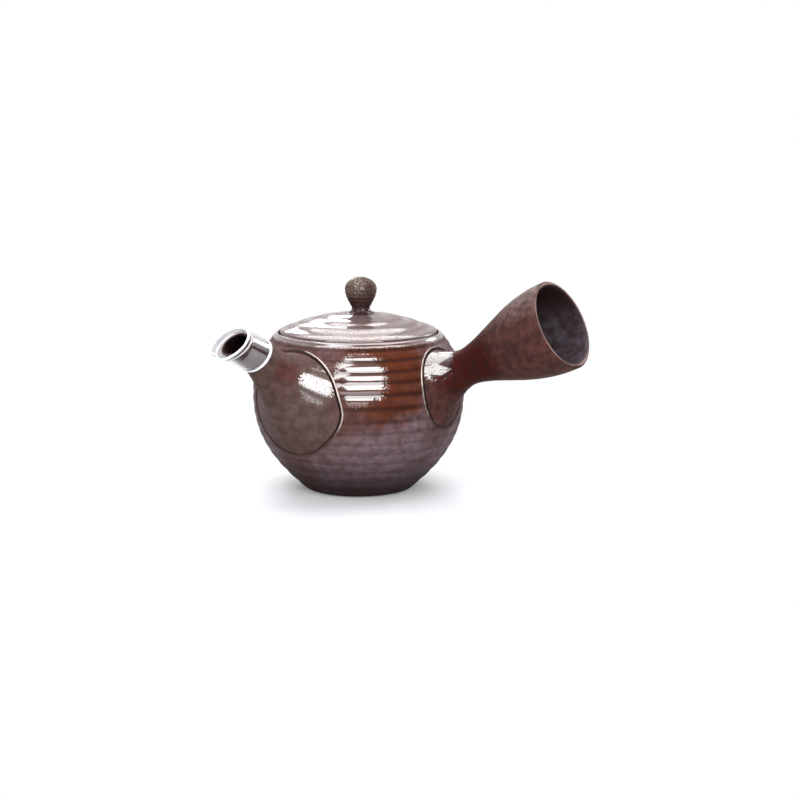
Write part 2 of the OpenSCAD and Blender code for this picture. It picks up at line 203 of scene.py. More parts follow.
def cut_away(piece, cutter):
    """Takes the cutter's shape out of the piece, and removes the cutter."""
    pick(piece)
    bpy.ops.object.modifier_add(type="BOOLEAN")
    piece.modifiers[-1].object = cutter
    piece.modifiers[-1].operation = "DIFFERENCE"
    apply_last(piece)
    bpy.data.objects.remove(cutter)


def drill(piece, radius, depth, sides, location, rotation=(0, 0, 0)):
    """Drills a round hole through a piece. Radius and depth are in millimetres."""
    start_alone()
    bpy.ops.mesh.primitive_cylinder_add(
        vertices=sides, radius=radius * MM, depth=depth * MM, location=location, rotation=rotation,
    )
    cut_away(piece, bpy.context.object)


def stand_in(piece, body, slot, *nodes):
    """Smooths the piece, lets it ride on its body and hides the CAD nodes that it stands for."""
    pick(piece)
    bpy.ops.object.shade_smooth_by_angle(angle=SMOOTH_ANGLE)
    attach(piece, body)
    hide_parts(*nodes)
    print(piece.name, "has", len(piece.data.polygons), "faces and rides on", body)


# %% [markdown]
# ## The pot
# The wall is one line: across the foot, up the outside through the throwing rings, over the rounded rim,
# down to the ledge where the lid sits, and back down the inside to the floor. Half a millimetre between
# points keeps five to twelve of them on every ring, so the light breaks on the crests. The hole behind
# the spout is a cylinder taken out with a Boolean.

# %% Throw the pot
OUTSIDE_STEP, INSIDE_STEP = 0.5, 2.5
FOOT_ROUND, RIM_ROUND, RIM_PARTS = 0.6, 0.5, 8
FOOT_POINTS, FLOOR_POINT = (8, 16), 12
CORNER = 1.0
SPOUT_TURN = math.radians(-96)
SPOUT_Z, SPOUT_HOLE_R, HOLE_SIDES = 44.5, 11.0, 64


def shares(count):
    """Even shares from 0 to 1, both ends included."""
    return [i / count for i in range(count + 1)]


def steps_between(low, high, step):
    """Even steps from low to high, or from high down to low, both ends included."""
    count = round(abs(high - low) / step)
    return [low + (high - low) * share for share in shares(count)]


foot_line = [(r, 0) for r in (0, *FOOT_POINTS, FOOT_R - 2 * FOOT_ROUND)]
foot_line.append((FOOT_R - FOOT_ROUND / 2, FOOT_ROUND / 4))
outside_line = [(thrown_r(z), z) for z in steps_between(FOOT_ROUND, RIM_Z - RIM_ROUND, OUTSIDE_STEP)]
rim_line = [
    (RIM_R - RIM_ROUND * (1 - math.cos(a)), RIM_Z - RIM_ROUND * (1 - math.sin(a)))
    for a in [math.pi * share for share in shares(RIM_PARTS)[1:]]
]
ledge_line = [(MOUTH_R, LEDGE_Z + CORNER), (MOUTH_R, LEDGE_Z), (THROAT_R, LEDGE_Z), (THROAT_R, THROAT_Z)]
inside_line = [(wall_r(z) - WALL, z) for z in steps_between(THROAT_Z, FLOOR_T + CORNER, INSIDE_STEP)]
floor_line = [(r, FLOOR_T) for r in (wall_r(FLOOR_T) - WALL - CORNER, FLOOR_POINT, 0)]
pot = throw("pot_body_thrown", foot_line + outside_line + rim_line + ledge_line + inside_line + floor_line)
touch_by_hand(pot, feature=14, depth=0.22)

spout_side = Vector((math.cos(SPOUT_TURN), math.sin(SPOUT_TURN), 0))
hole_at = (wall_r(SPOUT_Z) - WALL) * MM * spout_side + Vector((0, 0, SPOUT_Z * MM))
drill(pot, SPOUT_HOLE_R, 4 * WALL, HOLE_SIDES, hole_at, (0, math.pi / 2, SPOUT_TURN))
stand_in(pot, "pot", "pot_clay", "pot_body")

# %% [markdown]
# ## The side handle
# The handle is a hollow horn, thrown by itself and stuck to the pot while both were leather-hard. Its
# outline flares at the foot, narrows to a neck for the thumb and opens again to a rounded lip. We throw
# it upright and lay it over. A plain solid, a little smaller than the pot, then trims its root, so that
# the horn ends inside the wall.

# %% Throw the handle
HANDLE_Z, HANDLE_RISE = 57.6, math.radians(25.7)
NECK_S, NECK_R = 13.8, 8.8
HANDLE_FOOT_R, HANDLE_FOOT_CURVE = 13.5, 1.8
HANDLE_LEN, HANDLE_END_R, HANDLE_LIP, HORN_CURVE = 54.0, 20.8, 4.0, 1.5
HANDLE_WALL, HANDLE_ROOT = 2.8, 12.0
HANDLE_END_S = NECK_S + HANDLE_LEN
ROOT_SINK, TRIM_LOW_Z, TRIM_STEP, TRIM_TURNS = 1.4, 10, 1.5, 96
HORN_STEP, HORN_TURNS, LIP_PARTS = 1.0, 128, 10


def handle_r(s):
    """Outside radius of the handle at a distance along its axis from the pot's wall."""
    if s < NECK_S:
        return NECK_R + (HANDLE_FOOT_R - NECK_R) * ((NECK_S - s) / NECK_S) ** HANDLE_FOOT_CURVE
    share = min(1, (s - NECK_S) / (HANDLE_LEN - HANDLE_LIP))
    return NECK_R + (HANDLE_END_R - NECK_R) * math.sin(math.pi / 2 * share) ** HORN_CURVE


LIP_R = HANDLE_WALL / 2
horn_steps = steps_between(-HANDLE_ROOT, HANDLE_END_S - LIP_R, HORN_STEP)
horn_outside = [(handle_r(s), s) for s in horn_steps]
horn_lip = [
    (HANDLE_END_R - LIP_R * (1 - math.cos(a)), HANDLE_END_S - LIP_R * (1 - math.sin(a)))
    for a in [math.pi * share for share in shares(LIP_PARTS)[1:-1]]
]
horn_inside = [(handle_r(s) - HANDLE_WALL, s) for s in reversed(horn_steps)]
horn_line = horn_outside + horn_lip + horn_inside + horn_outside[:1]
handle = throw("handle_thrown", horn_line, steps=HORN_TURNS)
handle_place = (Vector((wall_r(HANDLE_Z), 0, HANDLE_Z)) * MM, (0, math.pi / 2 - HANDLE_RISE, 0))
place(handle, *handle_place)
touch_by_hand(handle, feature=18, depth=0.35)

trim_line = [(wall_r(z) - ROOT_SINK, z) for z in steps_between(TRIM_LOW_Z, RIM_Z, TRIM_STEP)]
trim_line = [(0, TRIM_LOW_Z)] + trim_line + [(0, RIM_Z)]
cut_away(handle, throw("handle_trim", trim_line, steps=TRIM_TURNS))
stand_in(handle, "pot", "handle_clay", "handle")

# %% [markdown]
# ## The spout
# The spout was pulled by hand: a broad round skirt, flared like a bell at its foot, that leans in to a
# short straight tip. It isn't round about any axis, so we describe it by rings. Each ring of the skirt
# reaches from a lower to an upper outline, which are two Bezier curves in the spout's upright plane.

# %% Outlines of the spout
SPOUT_FOOT_R, SPOUT_FOOT_W, SPOUT_FLARE = 25.4, 27.3, 2.6
SPOUT_OUT, SPOUT_UP = 33.0, 3.6
TIP_RISE, MOUTH_RISE, ARCH_RISE = math.radians(27), math.radians(52), math.radians(38)
TIP_LEN, TIP_R, TIP_ROOT_R, GUARD_STEP = 15.2, 6.7, 7.5, 0.4
ARCH_WALL, TIP_WALL, FOOT_SINK = 2.6, 1.7, 1.0
TOP_SHARE, LOW_SHARE = 0.54, 0.414
TOP_RISE, LOW_RISE = math.radians(4), math.radians(50)


def ahead(point, angle, distance):
    """A point of the spout's plane, that far on in a direction."""
    return point + distance * Vector((math.cos(angle), math.sin(angle)))


def bezier(p, t):
    """A point of a cubic Bezier curve."""
    return (1 - t) ** 3 * p[0] + 3 * t * (1 - t) ** 2 * p[1] + 3 * t * t * (1 - t) * p[2] + t ** 3 * p[3]


mouth_at = Vector((BELLY_R + SPOUT_OUT, RIM_Z + SPOUT_UP))
tip_root_at = ahead(mouth_at, TIP_RISE, -TIP_LEN)
arch_end_r = TIP_ROOT_R + GUARD_STEP
top_start = Vector((wall_r(SPOUT_Z + SPOUT_FOOT_R) - FOOT_SINK, SPOUT_Z + SPOUT_FOOT_R))
low_start = Vector((wall_r(SPOUT_Z - SPOUT_FOOT_R) - FOOT_SINK, SPOUT_Z - SPOUT_FOOT_R))
top_end = ahead(tip_root_at, ARCH_RISE + math.pi / 2, arch_end_r)
low_end = ahead(tip_root_at, ARCH_RISE - math.pi / 2, arch_end_r)
top_lead = TOP_SHARE * (top_end - top_start).length
low_lead = LOW_SHARE * (low_end - low_start).length
arch_top = [
    top_start, ahead(top_start, TOP_RISE, top_lead), ahead(top_end, TIP_RISE, -top_lead), top_end,
]
arch_low = [
    low_start, ahead(low_start, LOW_RISE, low_lead),
    ahead(low_end, 2 * ARCH_RISE - TIP_RISE, -low_lead), low_end,
]


def arch_ring(t, grow):
    """A ring of the skirt: its centre, the way that it faces, and its radii up and sideways."""
    top, low = bezier(arch_top, t), bezier(arch_low, t)
    across = top - low
    faces = math.atan2(-across.x, across.y)
    radius = across.length / 2 + grow
    side = arch_end_r + (SPOUT_FOOT_W - arch_end_r) * (1 - t) ** SPOUT_FLARE + grow
    return (top + low) / 2, faces, radius, side


def tip_ring(share, grow):
    """A ring of the tip: a slanting cut through a slim cone, from its root at 0 to the mouth at 1."""
    radius = TIP_ROOT_R + (TIP_R - TIP_ROOT_R) * share + grow
    faces = ARCH_RISE + (MOUTH_RISE - ARCH_RISE) * share
    centre = ahead(mouth_at, TIP_RISE, -TIP_LEN * (1 - share))
    return centre, faces, radius / math.cos(faces - TIP_RISE), radius


print("mouth of the spout", round(mouth_at.x, 1), "mm out and", round(mouth_at.y, 1), "mm up")

# %% [markdown]
# A circle is added at the foot and extruded. Each new ring is moved, turned and scaled to its place. The
# rings go on up the tip, over the mouth's edge and back down inside, and the two ends are bridged inside
# the pot's wall.

# %% Pull the spout
SPOUT_SIDES = 96
SKIRT_SINK = 0.8
SKIRT_RINGS, TIP_RINGS, MOUTH_PARTS = 26, 8, 6
TIP_INSIDE_RINGS, SKIRT_INSIDE_RINGS = 4, 14
MOUTH_BULGE = 0.2


def pull_rings(name, rings, sides=SPOUT_SIDES):
    """Extrudes a circle through a list of rings in the plane of X and Z, and closes it into a shell.
    With no window open, a positive turn about Y lifts +X towards +Z."""
    start_alone()
    centre, faces, up, side = rings[0]
    bpy.ops.mesh.primitive_circle_add(vertices=sides, radius=MM, rotation=(0, math.pi / 2 - faces, 0))
    piece = bpy.context.object
    piece.name = name
    bpy.ops.object.transform_apply(location=True, rotation=True, scale=True)
    edit_all()
    bpy.ops.transform.resize(value=(up, side, up), center_override=(0, 0, 0))
    bpy.ops.transform.translate(value=(centre.x * MM, 0, centre.y * MM))
    for last, ring in zip(rings, rings[1:]):
        move = (ring[0] - last[0]) * MM
        middle = (ring[0].x * MM, 0, ring[0].y * MM)
        bpy.ops.mesh.extrude_region_move(TRANSFORM_OT_translate={"value": (move.x, 0, move.y)})
        bpy.ops.transform.rotate(value=ring[1] - last[1], orient_axis="Y", center_override=middle)
        grow_up, grow_side = ring[2] / last[2], ring[3] / last[3]
        bpy.ops.transform.resize(value=(grow_up, grow_side, grow_up), center_override=middle)
    bpy.ops.mesh.select_all(action="DESELECT")
    bpy.ops.mesh.select_non_manifold()
    bpy.ops.mesh.bridge_edge_loops()
    close_up()
    return piece


def sunk(ring, depth):
    """The same ring, moved towards the pot's axis."""
    return (ring[0] - Vector((depth, 0)),) + ring[1:]


skirt = [arch_ring(t, 0) for t in shares(SKIRT_RINGS)]
tip = [tip_ring(t, 0) for t in shares(TIP_RINGS)]
lip = [
    (ahead(mouth_at, MOUTH_RISE, MOUTH_BULGE * math.sin(a)),)
    + tip_ring(1, -TIP_WALL / 2 * (1 - math.cos(a)))[1:]
    for a in [math.pi * share for share in shares(MOUTH_PARTS)[1:-1]]
]
tip_inside = [tip_ring(t, -TIP_WALL) for t in shares(TIP_INSIDE_RINGS)[:0:-1]]
skirt_inside = [arch_ring(t, -ARCH_WALL) for t in shares(SKIRT_INSIDE_RINGS)[::-1]]
spout = pull_rings(
    "spout_pulled",
    [sunk(skirt[0], SKIRT_SINK)] + skirt + tip + lip + tip_inside + skirt_inside
    + [sunk(skirt_inside[-1], SKIRT_SINK)],
)
place(spout, (0, 0, 0), (0, 0, SPOUT_TURN))
touch_by_hand(spout, feature=16, depth=0.3)
stand_in(spout, "pot", "spout_clay", "spout")

# %% [markdown]
# ## Beads of slip along the seams
# Where spout and handle were stuck on, a thin roll of soft clay was run round the join, and a pointed
# stick left an incised line beside it; the shade in that line is painted, as a dark roll. Both follow a
# seam that bends in space. Each point of the seam is found by walking along the spout or handle until it
# comes out of the pot's wall, halving the stretch that holds the place.

# %% Follow the seams
SEAM_STEPS, HALVINGS = 120, 24
BEAD_R, BEAD_OUT, BEAD_SINK = 0.42, 1.25, 0.05
LINE_R, LINE_OUT, LINE_SINK = 0.62, 0.35, 0.42
SLOPE_STEP = 0.01
SEAM_FROM, SEAM_TO = -0.03, 0.6


def outside_by(p):
    """How far a point lies outside the pot's smooth wall."""
    return math.hypot(p.x, p.y) - wall_r(p.z)


def wall_normal(p):
    """The way out of the pot's wall at a point."""
    slope = (wall_r(p.z + SLOPE_STEP) - wall_r(p.z - SLOPE_STEP)) / (2 * SLOPE_STEP)
    return Vector((p.x, p.y, -slope * math.hypot(p.x, p.y))).normalized()


def where_it_leaves(path, inside, outside):
    """The point of a path at which it comes out of the pot."""
    for _ in range(HALVINGS):
        middle = (inside + outside) / 2
        if outside_by(path(middle)) > 0:
            outside = middle
        else:
            inside = middle
    return path(outside)


def spout_point(t, turn):
    """A point on the skirt, in the pot's frame."""
    centre, faces, up, side = arch_ring(t, 0)
    x = centre.x - up * math.sin(turn) * math.sin(faces)
    y = side * math.cos(turn)
    z = centre.y + up * math.sin(turn) * math.cos(faces)
    c, s = math.cos(SPOUT_TURN), math.sin(SPOUT_TURN)
    return Vector((c * x - s * y, s * x + c * y, z))


def handle_point(s, turn):
    """A point on the handle's side, in the pot's frame."""
    r = handle_r(s)
    c, n = math.cos(HANDLE_RISE), math.sin(HANDLE_RISE)
    return Vector((
        wall_r(HANDLE_Z) + s * c + r * math.cos(turn) * n,
        r * math.sin(turn),
        HANDLE_Z + s * n - r * math.cos(turn) * c,
    ))


turns = [math.tau * share for share in shares(SEAM_STEPS)[:-1]]
spout_seam = [where_it_leaves(lambda t, a=a: spout_point(t, a), SEAM_FROM, SEAM_TO) for a in turns]
handle_seam = [where_it_leaves(lambda s, a=a: handle_point(s, a), -HANDLE_ROOT, NECK_S) for a in turns]
seam_heights = [p.z for p in spout_seam]
print("spout seam reaches from", round(min(seam_heights), 1), "to", round(max(seam_heights), 1), "mm up")

# %% [markdown]
# The rolls are curves with a round bevel. Every point of a seam is moved a little outwards and sunk in
# the wall, so that half of the roll shows. The curve is then turned into a mesh like the other pieces.

# %% Lay the beads
ROLL_RESOLUTION = 3


def lay_roll(name, seam, radius, out_by, sink):
    """A round roll of clay beside a seam, half sunk in the pot's wall."""
    start_alone()
    bpy.ops.curve.primitive_bezier_circle_add(radius=MM)
    roll = bpy.context.object
    roll.name = name
    roll.data.splines.clear()
    line = roll.data.splines.new("POLY")
    line.points.add(len(seam) - 1)
    line.use_cyclic_u = True
    middle = sum(seam, Vector()) / len(seam)
    for i, point in enumerate(seam):
        along = seam[(i + 1) % len(seam)] - seam[i - 1]
        up = wall_normal(point)
        away = along.cross(up).normalized()
        if away.dot(point - middle) < 0:
            away.negate()
        spot = point + out_by * away
        spot += (wall_r(spot.z) - math.hypot(spot.x, spot.y) - sink) * up
        line.points[i].co = (*(spot * MM), 1)
    roll.data.dimensions = "3D"
    roll.data.bevel_depth = radius * MM
    roll.data.bevel_resolution = ROLL_RESOLUTION
    bpy.ops.object.convert(target="MESH")
    return bpy.context.object


beads = []
for part, seam in (("spout", spout_seam), ("handle", handle_seam)):
    bead = lay_roll(part + "_bead", seam, BEAD_R, BEAD_OUT, BEAD_SINK)
    stand_in(bead, "pot", "bead_clay", part + "_luting_bead")
    # Painted shade: a dark roll stands in for the shade in the incised line.
    line = lay_roll(part + "_seam_shade_line", seam, LINE_R, LINE_OUT, LINE_SINK)
    stand_in(line, "pot", "bead_clay")
    beads.append((bead, line))

# %% [markdown]
# ## The lid and its knob
# The lid drops into the mouth and rests on the ledge; a collar under it keeps it from tipping when tea is
# poured. It is a shallow dome with a few broad rings, a rounded edge and a small vent hole. The line
# goes out over the dome, round the edge and the collar, and back under the dome to the axis.

# %% Throw the lid
LID_R, LID_LOW_Z, LID_EDGE_Z, DOME_H, DOME_T = 37.4, 72.6, 75.8, 8.2, 3.0
LID_EDGE_R, EDGE_PARTS = 1.0, 6
DOME_STEP, UNDER_STEP = 0.6, 1.8
COLLAR_R, COLLAR_T, COLLAR_LOW_Z, COLLAR_ROUND = 33.2, 2.6, 66.4, 0.5
COLLAR_IN_R = COLLAR_R - COLLAR_T
LID_RING_PITCH, LID_RING_DEPTH, LID_RING_LOW, LID_RING_HIGH = 8.0, 0.3, 11.4, 35.4
KNOB_SEAT_R = 7.8
VENT_R, VENT_OUT, VENT_SIDES = 1.2, 14.0, 32
DOME_RADIUS = (LID_R ** 2 + DOME_H ** 2) / (2 * DOME_H)


def dome_z(r):
    """Height of the smooth dome at a distance from the axis."""
    return LID_EDGE_Z + DOME_H - DOME_RADIUS + math.sqrt(DOME_RADIUS ** 2 - r * r)


def lid_ring(r):
    """Depth of the broad rings on the dome."""
    if not LID_RING_LOW < r < LID_RING_HIGH:
        return 0.0
    return LID_RING_DEPTH * math.sin(math.pi * (r - LID_RING_LOW) / LID_RING_PITCH) ** 2


edge_lean = math.asin(LID_R / DOME_RADIUS)
edge_start_r = LID_R - LID_EDGE_R * (1 - math.sin(edge_lean))
edge_centre_z = dome_z(edge_start_r) - LID_EDGE_R * math.cos(edge_lean)
edge_angles = [edge_lean + (math.pi / 2 - edge_lean) * share for share in shares(EDGE_PARTS)[1:]]
dome_line = [(r, dome_z(r) - lid_ring(r)) for r in steps_between(KNOB_SEAT_R, edge_start_r, DOME_STEP)]
edge_line = [
    (LID_R - LID_EDGE_R * (1 - math.sin(a)), edge_centre_z + LID_EDGE_R * math.cos(a))
    for a in edge_angles
]
collar_line = [
    (LID_R, LID_LOW_Z), (COLLAR_R, LID_LOW_Z),
    (COLLAR_R, COLLAR_LOW_Z + COLLAR_ROUND), (COLLAR_R - COLLAR_ROUND, COLLAR_LOW_Z),
    (COLLAR_IN_R + COLLAR_ROUND, COLLAR_LOW_Z), (COLLAR_IN_R, COLLAR_LOW_Z + COLLAR_ROUND),
]
under_line = [(r, dome_z(r) - DOME_T) for r in steps_between(COLLAR_IN_R, 0, UNDER_STEP)]
lid = throw("lid_thrown", [(0, dome_z(KNOB_SEAT_R))] + dome_line + edge_line + collar_line + under_line)
touch_by_hand(lid, feature=15, depth=0.18)

vent_side = Vector((math.cos(-SPOUT_TURN), math.sin(-SPOUT_TURN), 0))
vent_at = VENT_OUT * MM * vent_side + Vector((0, 0, dome_z(VENT_OUT) * MM))
drill(lid, VENT_R, 6 * DOME_T, VENT_SIDES, vent_at)
stand_in(lid, "lid", "lid_clay", "lid")

# %% [markdown]
# The knob is a little onion on a short neck, turned with a ribbed tool, so fine ribs go round it. Its
# points lie closer together towards the crown, where the outline bends over to the axis. It sits a little
# off the lid's axis, rides on the lid's body and lifts off with it.

# %% Throw the knob
KNOB_R, KNOB_NECK_R, KNOB_FOOT_R = 7.7, 4.3, 6.6
KNOB_H, KNOB_NECK_Z, KNOB_WIDE_Z, KNOB_CURVE = 17.2, 2.3, 11.5, 1.2
KNOB_OFF, KNOB_OFF_TURN = 1.2, math.radians(33)
RIB_PITCH, RIB_DEPTH = 1.9, 0.22
NECK_STEP, RIB_STEP, CROWN_PARTS, KNOB_TURNS = 0.25, 0.2, 24, 96


def knob_r(z):
    """Radius of the knob at a height above the lid, with fine ribs above the neck."""
    if z < KNOB_NECK_Z:
        return KNOB_NECK_R + (KNOB_FOOT_R - KNOB_NECK_R) * (1 - z / KNOB_NECK_Z) ** 2
    rib = RIB_DEPTH * math.sin(math.pi * (z - KNOB_NECK_Z) / RIB_PITCH) ** 2
    if z < KNOB_WIDE_Z:
        share = (z - KNOB_NECK_Z) / (KNOB_WIDE_Z - KNOB_NECK_Z)
        return KNOB_NECK_R + (KNOB_R - KNOB_NECK_R) * math.sin(math.pi / 2 * share) ** KNOB_CURVE - rib
    share = (z - KNOB_WIDE_Z) / (KNOB_H - KNOB_WIDE_Z)
    return KNOB_R * math.sqrt(max(0, 1 - share ** 2)) - rib * (1 - share)


neck = steps_between(0, KNOB_NECK_Z, NECK_STEP)
ribs = steps_between(KNOB_NECK_Z + RIB_STEP, KNOB_WIDE_Z - RIB_STEP, RIB_STEP)
bends = [math.sin(math.pi / 2 * share) for share in shares(CROWN_PARTS)]
crown = [KNOB_WIDE_Z + (KNOB_H - KNOB_WIDE_Z) * bend for bend in bends]
knob_line = [(0, 0)] + [(max(0, knob_r(z)), z) for z in neck + ribs + crown]
knob = throw("knob_thrown", knob_line, steps=KNOB_TURNS)
knob_side = Vector((math.cos(KNOB_OFF_TURN), math.sin(KNOB_OFF_TURN), 0))
place(knob, KNOB_OFF * MM * knob_side + Vector((0, 0, dome_z(KNOB_SEAT_R) * MM)), (0, 0, 0))
touch_by_hand(knob, feature=6, depth=0.12)
stand_in(knob, "lid", "knob_clay", "knob")

# %% [markdown]
# ## The clear sleeve on the spout
# New pots are sold with a soft clear sleeve on the spout's tip, so that it doesn't chip. It hugs the tip
# and widens to a slanting lip. We throw its middle surface, cut both ends with a slanting Bisect, and
# let Solidify give the film its thickness. It rides on its own body, because it can be pulled off.

# %% Make the sleeve
FILM_T, FILM_GAP, FILM_OUT, FILM_FLARE, FLARE_START = 0.8, 0.3, 3.2, 0.3, -3.0
LIP_FROST, MOUTH_HIGHLIGHT_BAND, BASE_FROST, FROST_PAST = 0.5, 0.3, 1.2, 1.0
SPARE_LOW, SPARE_HIGH, FILM_STEP, FILM_TURNS = 3, 6, 0.5, 96


def sleeve_r(s):
    """Radius of the middle of the film at a distance along the tip from the mouth."""
    tip_r = TIP_R - (TIP_ROOT_R - TIP_R) * s / TIP_LEN
    return tip_r + FILM_GAP + FILM_T / 2 + FILM_FLARE * max(0, s - FLARE_START)


def slanting(faces):
    """The way that a cut across the tip looks, if it is turned up by an angle from the tip's axis."""
    return Vector((-math.sin(faces), 0, math.cos(faces)))


def slice_film(point, way, **dropped):
    """Cuts the open film at a plane, and may drop one side of it."""
    edit_all()
    bpy.ops.mesh.bisect(plane_co=point, plane_no=way, **dropped)
    bpy.ops.object.mode_set(mode="OBJECT")


def frost_and_highlight_band(film, point, way, low, high):
    """Gives a band of the film its second material, between two distances from a plane."""
    for step in (low, high):
        slice_film(point + step * MM * way, way)
    for face in film.data.polygons:
        if low * MM < (face.center - point).dot(way) < high * MM:
            face.material_index = 1


film_steps = steps_between(-TIP_LEN - SPARE_LOW, FILM_OUT + SPARE_HIGH, FILM_STEP)
sleeve = throw("spout_sleeve", [(sleeve_r(s), s) for s in film_steps], steps=FILM_TURNS)
lip_way, base_way = slanting(MOUTH_RISE - TIP_RISE), slanting(ARCH_RISE - TIP_RISE)
lip_spot = Vector((0, 0, FILM_OUT)) * MM
base_spot = (Vector((0, 0, -TIP_LEN)) + FILM_GAP * base_way) * MM
slice_film(lip_spot, lip_way, clear_outer=True)
slice_film(base_spot, base_way, clear_inner=True)
frost_and_highlight_band(sleeve, lip_spot, lip_way, -LIP_FROST, FROST_PAST)
# Painted highlight: a white band round the film where the clay's mouth lies, for the bright ring there.
frost_and_highlight_band(sleeve, Vector(), lip_way, -MOUTH_HIGHLIGHT_BAND, MOUTH_HIGHLIGHT_BAND)
frost_and_highlight_band(sleeve, base_spot, base_way, -FROST_PAST, BASE_FROST)
bpy.ops.object.modifier_add(type="SOLIDIFY")
sleeve.modifiers[-1].thickness, sleeve.modifiers[-1].offset = FILM_T * MM, 0
apply_last(sleeve)
mouth_spot = mouth_at.x * spout_side + Vector((0, 0, mouth_at.y))
tip_place = (mouth_spot * MM, (0, math.pi / 2 - TIP_RISE, SPOUT_TURN))
place(sleeve, *tip_place)
stand_in(sleeve, "spout_guard", "clear_vinyl", "spout_guard")

# %% [markdown]
# ## The strainer
# Behind the spout, inside the pot, a half ball pierced with small holes holds back the leaves. Its CAD
# shape is already right, so a copy is enough: its loose triangles are merged, and smooth shading then
# runs across them.

# %% Copy the strainer
strainer_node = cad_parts["strainer"]
strainer = bpy.data.objects.new("strainer_pierced", strainer_node.data.copy())
bpy.context.scene.collection.objects.link(strainer)
pick(strainer)
edit_all()
bpy.ops.mesh.remove_doubles(threshold=MERGE_GAP)
bpy.ops.object.mode_set(mode="OBJECT")
strainer.data.materials.clear()
stand_in(strainer, "pot", "inner_clay", "strainer")

# %% [markdown]
# ## Node groups for the clay
# All the clay came from one bag and one kiln, so all the materials share a few node groups and differ in
# their values. Some small functions keep the graphs short: each is a node that comes back often.

# %% Tools for nodes
def join(tree, node, sockets):
    """Links each socket that gets another socket, and sets each one that gets a plain value."""
    for socket, value in sockets.items():
        if isinstance(value, bpy.types.NodeSocket):
            tree.links.new(value, node.inputs[socket])
        else:
            node.inputs[socket].default_value = value


def put(tree, kind, sockets=None, **options):
    """Adds a node, sets its options and joins its sockets."""
    made = tree.nodes.new(kind)
    for option, value in options.items():
        setattr(made, option, value)
    join(tree, made, sockets or {})
    return made


def figure(tree, operation, first, second=0.5, third=0.0):
    """A Math node's result."""
    return put(tree, "ShaderNodeMath", {0: first, 1: second, 2: third}, operation=operation).outputs[0]


def times(tree, first, second):
    """The product of two values."""
    return figure(tree, "MULTIPLY", first, second)


def less(tree, value, share):
    """A value, lessened by a share of itself."""
    return times(tree, value, figure(tree, "SUBTRACT", 1.0, share))


def measure(tree, operation, first, second):
    """The number that a Vector Math node finds from two vectors."""
    return put(tree, "ShaderNodeVectorMath", {0: first, 1: second}, operation=operation).outputs["Value"]


def axes(tree, vector):
    """The X, Y and Z of a vector."""
    return put(tree, "ShaderNodeSeparateXYZ", {"Vector": vector}).outputs


def object_place(tree):
    """Where a point lies in the coordinates of its own object."""
    return put(tree, "ShaderNodeTexCoord").outputs["Object"]


def spread(tree, value, low, high, to_low=0.0, to_high=1.0):
    """A smooth step of a value from one range to another."""
    sockets = {"Value": value, "From Min": low, "From Max": high, "To Min": to_low, "To Max": to_high}
    return put(tree, "ShaderNodeMapRange", sockets, interpolation_type="SMOOTHSTEP").outputs["Result"]


def tint(tree, share, under, over):
    """One colour laid over another."""
    return put(tree, "ShaderNodeMix", {0: share, 6: under, 7: over}, data_type="RGBA").outputs[2]


def new_group(name, inputs, outputs):
    """An empty node group: its tree, the sockets that it is given, and the node that takes its results."""
    tree = bpy.data.node_groups.new(name, "ShaderNodeTree")
    for way, sockets in (("INPUT", inputs), ("OUTPUT", outputs)):
        for socket, kind in sockets.items():
            tree.interface.new_socket(name=socket, in_out=way, socket_type="NodeSocket" + kind)
    return tree, tree.nodes.new("NodeGroupInput").outputs, tree.nodes.new("NodeGroupOutput")


def use_group(tree, group, sockets):
    """A copy of a node group, with its own values."""
    return put(tree, "ShaderNodeGroup", sockets, node_tree=group).outputs


def noise(tree, vector, size, detail=2.0, roughness=0.5):
    """Noise whose features are about that many millimetres wide."""
    sockets = {"Vector": vector, "Scale": 1 / (size * MM), "Detail": detail, "Roughness": roughness}
    return put(tree, "ShaderNodeTexNoise", sockets).outputs["Fac"]


def new_material(name):
    """A new material, its node tree and its shader."""
    material = bpy.data.materials.new(name)
    material.use_nodes = True
    return material, material.node_tree, material.node_tree.nodes["Principled BSDF"]


# %% [markdown]
# The first group makes the grain of unglazed stoneware at four sizes, from sand that sparkles in a
# highlight to clouds as wide as a thumb.

# %% Group: grain of the clay
SAND_SIZE, FLECK_SIZE, MOTTLE_SIZE, CLOUD_SIZE = 0.8, 1.6, 4.0, 26.0
FLECK_RANGE, MOTTLE_RANGE, CLOUD_RANGE = (0.1, 0.3), (0.32, 0.68), (0.35, 0.65)
tree, given, found = new_group(
    "clay grain", {"Vector": "Vector"}, dict.fromkeys(("Sand", "Mottle", "Cloud", "Fleck"), "Float"),
)
mottle = noise(tree, given["Vector"], MOTTLE_SIZE, detail=4.0, roughness=0.6)
cloud = noise(tree, given["Vector"], CLOUD_SIZE, detail=3.0, roughness=0.55)
sockets = {"Vector": given["Vector"], "Scale": 1 / (FLECK_SIZE * MM)}
cells = put(tree, "ShaderNodeTexVoronoi", sockets).outputs["Distance"]
join(tree, found, {
    "Sand": noise(tree, given["Vector"], SAND_SIZE, detail=2.0, roughness=0.6),
    "Mottle": spread(tree, mottle, *MOTTLE_RANGE),
    "Cloud": spread(tree, cloud, *CLOUD_RANGE),
    "Fleck": spread(tree, cells, *FLECK_RANGE, 1.0, 0.0),
})
print("grain group has", len(tree.nodes), "nodes")
grain_tree = tree

# %% [markdown]
# The second group is the mark of the potter's tools: fine lines that go round an axis. They are a wave
# along the axis, and a little noise lets them wander.

# %% Group: turning lines
WANDER_SIZE = 20.0
tree, given, found = new_group(
    "turning lines", {"Vector": "Vector", "Pitch": "Float", "Wander": "Float"}, {"Lines": "Float"},
)
wander = noise(tree, given["Vector"], WANDER_SIZE)
angle = figure(tree, "DIVIDE", axes(tree, given["Vector"])["Z"], given["Pitch"])
angle = figure(tree, "MULTIPLY_ADD", wander, given["Wander"], angle)
wave = figure(tree, "SINE", times(tree, angle, math.tau))
join(tree, found, {"Lines": figure(tree, "MULTIPLY_ADD", wave, 0.5, 0.5)})
lines_tree = tree
